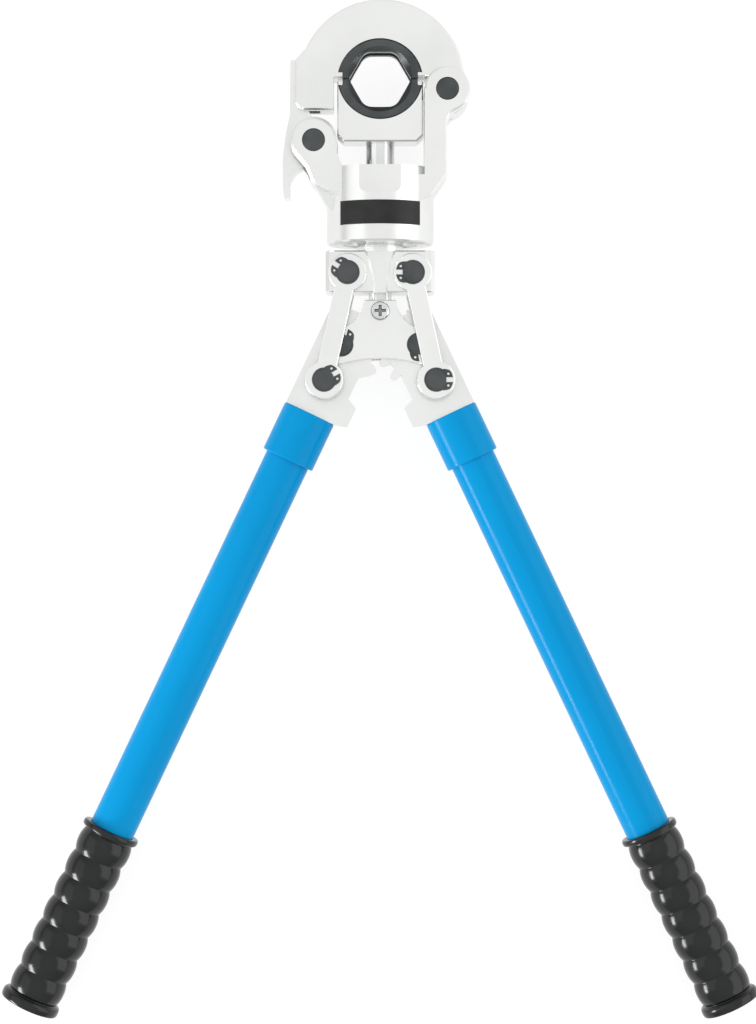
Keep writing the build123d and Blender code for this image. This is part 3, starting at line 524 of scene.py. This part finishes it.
def floor_material():
    """White floor that glows where it is seen straight or mirrored, and still takes the tool's shadow."""
    material = bpy.data.materials.new("floor")
    material.use_nodes = True
    tree = material.node_tree
    tree.nodes.clear()
    output = add_node(tree, "ShaderNodeOutputMaterial")
    plain = add_node(tree, "ShaderNodeBsdfDiffuse", Color=grey(floor_white))
    shaded = add_node(tree, "ShaderNodeBsdfDiffuse", Color=grey(floor_shaded))
    glow = add_node(tree, "ShaderNodeEmission", Color=grey(1.0), Strength=floor_glow)
    bright = add_node(tree, "ShaderNodeAddShader")
    path = add_node(tree, "ShaderNodeLightPath")
    seen = add_node(tree, "ShaderNodeMath", operation="MAXIMUM")
    seen_any = add_node(tree, "ShaderNodeMath", operation="MAXIMUM")
    mix = add_node(tree, "ShaderNodeMixShader")
    tree.links.new(path.outputs["Is Camera Ray"], seen.inputs[0])
    tree.links.new(path.outputs["Is Glossy Ray"], seen.inputs[1])
    tree.links.new(seen.outputs[0], seen_any.inputs[0])
    tree.links.new(path.outputs["Is Transmission Ray"], seen_any.inputs[1])
    tree.links.new(shaded.outputs[0], bright.inputs[0])
    tree.links.new(glow.outputs[0], bright.inputs[1])
    tree.links.new(seen_any.outputs[0], mix.inputs["Fac"])
    tree.links.new(plain.outputs[0], mix.inputs[1])
    tree.links.new(bright.outputs[0], mix.inputs[2])
    tree.links.new(mix.outputs[0], output.inputs["Surface"])
    return material


def make_floor():
    corners = []
    for x, y in ((-1, -1), (1, -1), (1, 1), (-1, 1)):
        rise = (y * floor_half - rest_near.y) * floor_tilt
        corners.append((x * floor_half, y * floor_half, rest_near.z + rise))
    mesh = bpy.data.meshes.new("floor")
    mesh.from_pydata(corners, [], [(0, 1, 2, 3)])
    floor = bpy.data.objects.new("floor", mesh)
    scene.collection.objects.link(floor)
    floor.data.materials.append(floor_material())


make_floor()


# Light: a pale room with a bright card on each side, and one low strip lamp
room_level = 0.55
room_rise = 0.46
card_side_soft = 0.06
card_height_soft = 0.05
right_card = {"side": 1, "azimuths": (-32, 48), "heights": (0.10, 0.72), "strength": 1.05}
left_card = {"side": -1, "azimuths": (-25, 40), "heights": (0.25, 0.80), "strength": 0.42}
strip_place = Vector((-1.7, -1.20, 0.42))
strip_target = Vector((0, -0.5, 0))
strip_size = (0.9, 0.5)
strip_watts = 24


def combine(tree, operation, first, second):
    """A sum, product or the like of two values, each a socket or a number."""
    node = add_node(tree, "ShaderNodeMath", operation=operation)
    for place, value in enumerate((first, second)):
        if isinstance(value, (int, float)):
            node.inputs[place].default_value = value
        else:
            tree.links.new(value, node.inputs[place])
    return node.outputs[0]


def ease(tree, value, start, end, first):
    """A smooth change between two values, from 0 to 1 or from 1 to 0."""
    node = add_node(tree, "ShaderNodeMapRange", interpolation_type="SMOOTHSTEP")
    node.inputs["From Min"].default_value = start
    node.inputs["From Max"].default_value = end
    node.inputs["To Min"].default_value = first
    node.inputs["To Max"].default_value = 1 - first
    tree.links.new(value, node.inputs["Value"])
    return node.outputs["Result"]


def band(tree, value, low, high, soft):
    """1 between two values, with a soft edge outside them."""
    rising = ease(tree, value, low - soft, low, 0.0)
    falling = ease(tree, value, high, high + soft, 1.0)
    return combine(tree, "MULTIPLY", rising, falling)


def card(tree, axes, side, azimuths, heights, strength):
    """A bright card on one side of the room, between two azimuths from X and two heights."""
    across = combine(tree, "MULTIPLY", axes.outputs["X"], side)
    azimuth = combine(tree, "ARCTAN2", axes.outputs["Y"], across)
    wide = band(tree, azimuth, radians(azimuths[0]), radians(azimuths[1]), card_side_soft)
    high = band(tree, axes.outputs["Z"], heights[0], heights[1], card_height_soft)
    return combine(tree, "MULTIPLY", combine(tree, "MULTIPLY", wide, high), strength)


def make_world():
    """The room that lights the tool, seen by the camera as plain white."""
    world = bpy.data.worlds.new("room")
    scene.world = world
    world.use_nodes = True
    tree = world.node_tree
    tree.nodes.clear()
    output = add_node(tree, "ShaderNodeOutputWorld")
    room = add_node(tree, "ShaderNodeBackground", Strength=1.0)
    white = add_node(tree, "ShaderNodeBackground", Color=grey(1.0), Strength=1.0)
    path = add_node(tree, "ShaderNodeLightPath")
    mix = add_node(tree, "ShaderNodeMixShader")
    place = add_node(tree, "ShaderNodeTexCoord")
    axes = add_node(tree, "ShaderNodeSeparateXYZ")
    tree.links.new(place.outputs["Generated"], axes.inputs[0])
    rise = combine(tree, "MULTIPLY", axes.outputs["Z"], room_rise)
    level = combine(tree, "ADD", rise, room_level)
    level = combine(tree, "ADD", level, card(tree, axes, **right_card))
    level = combine(tree, "ADD", level, card(tree, axes, **left_card))
    tree.links.new(level, room.inputs["Color"])
    tree.links.new(path.outputs["Is Camera Ray"], mix.inputs["Fac"])
    tree.links.new(room.outputs[0], mix.inputs[1])
    tree.links.new(white.outputs[0], mix.inputs[2])
    tree.links.new(mix.outputs[0], output.inputs["Surface"])


def make_strip():
    lamp = bpy.data.lights.new("left_strip", "AREA")
    lamp.shape = "RECTANGLE"
    lamp.size, lamp.size_y = strip_size
    lamp.energy = strip_watts
    strip = bpy.data.objects.new("left_strip", lamp)
    strip.location = strip_place
    strip.rotation_euler = (strip_target - strip_place).to_track_quat("-Z", "Y").to_euler()
    scene.collection.objects.link(strip)


make_world()
make_strip()

scene.view_settings.view_transform = "Standard"
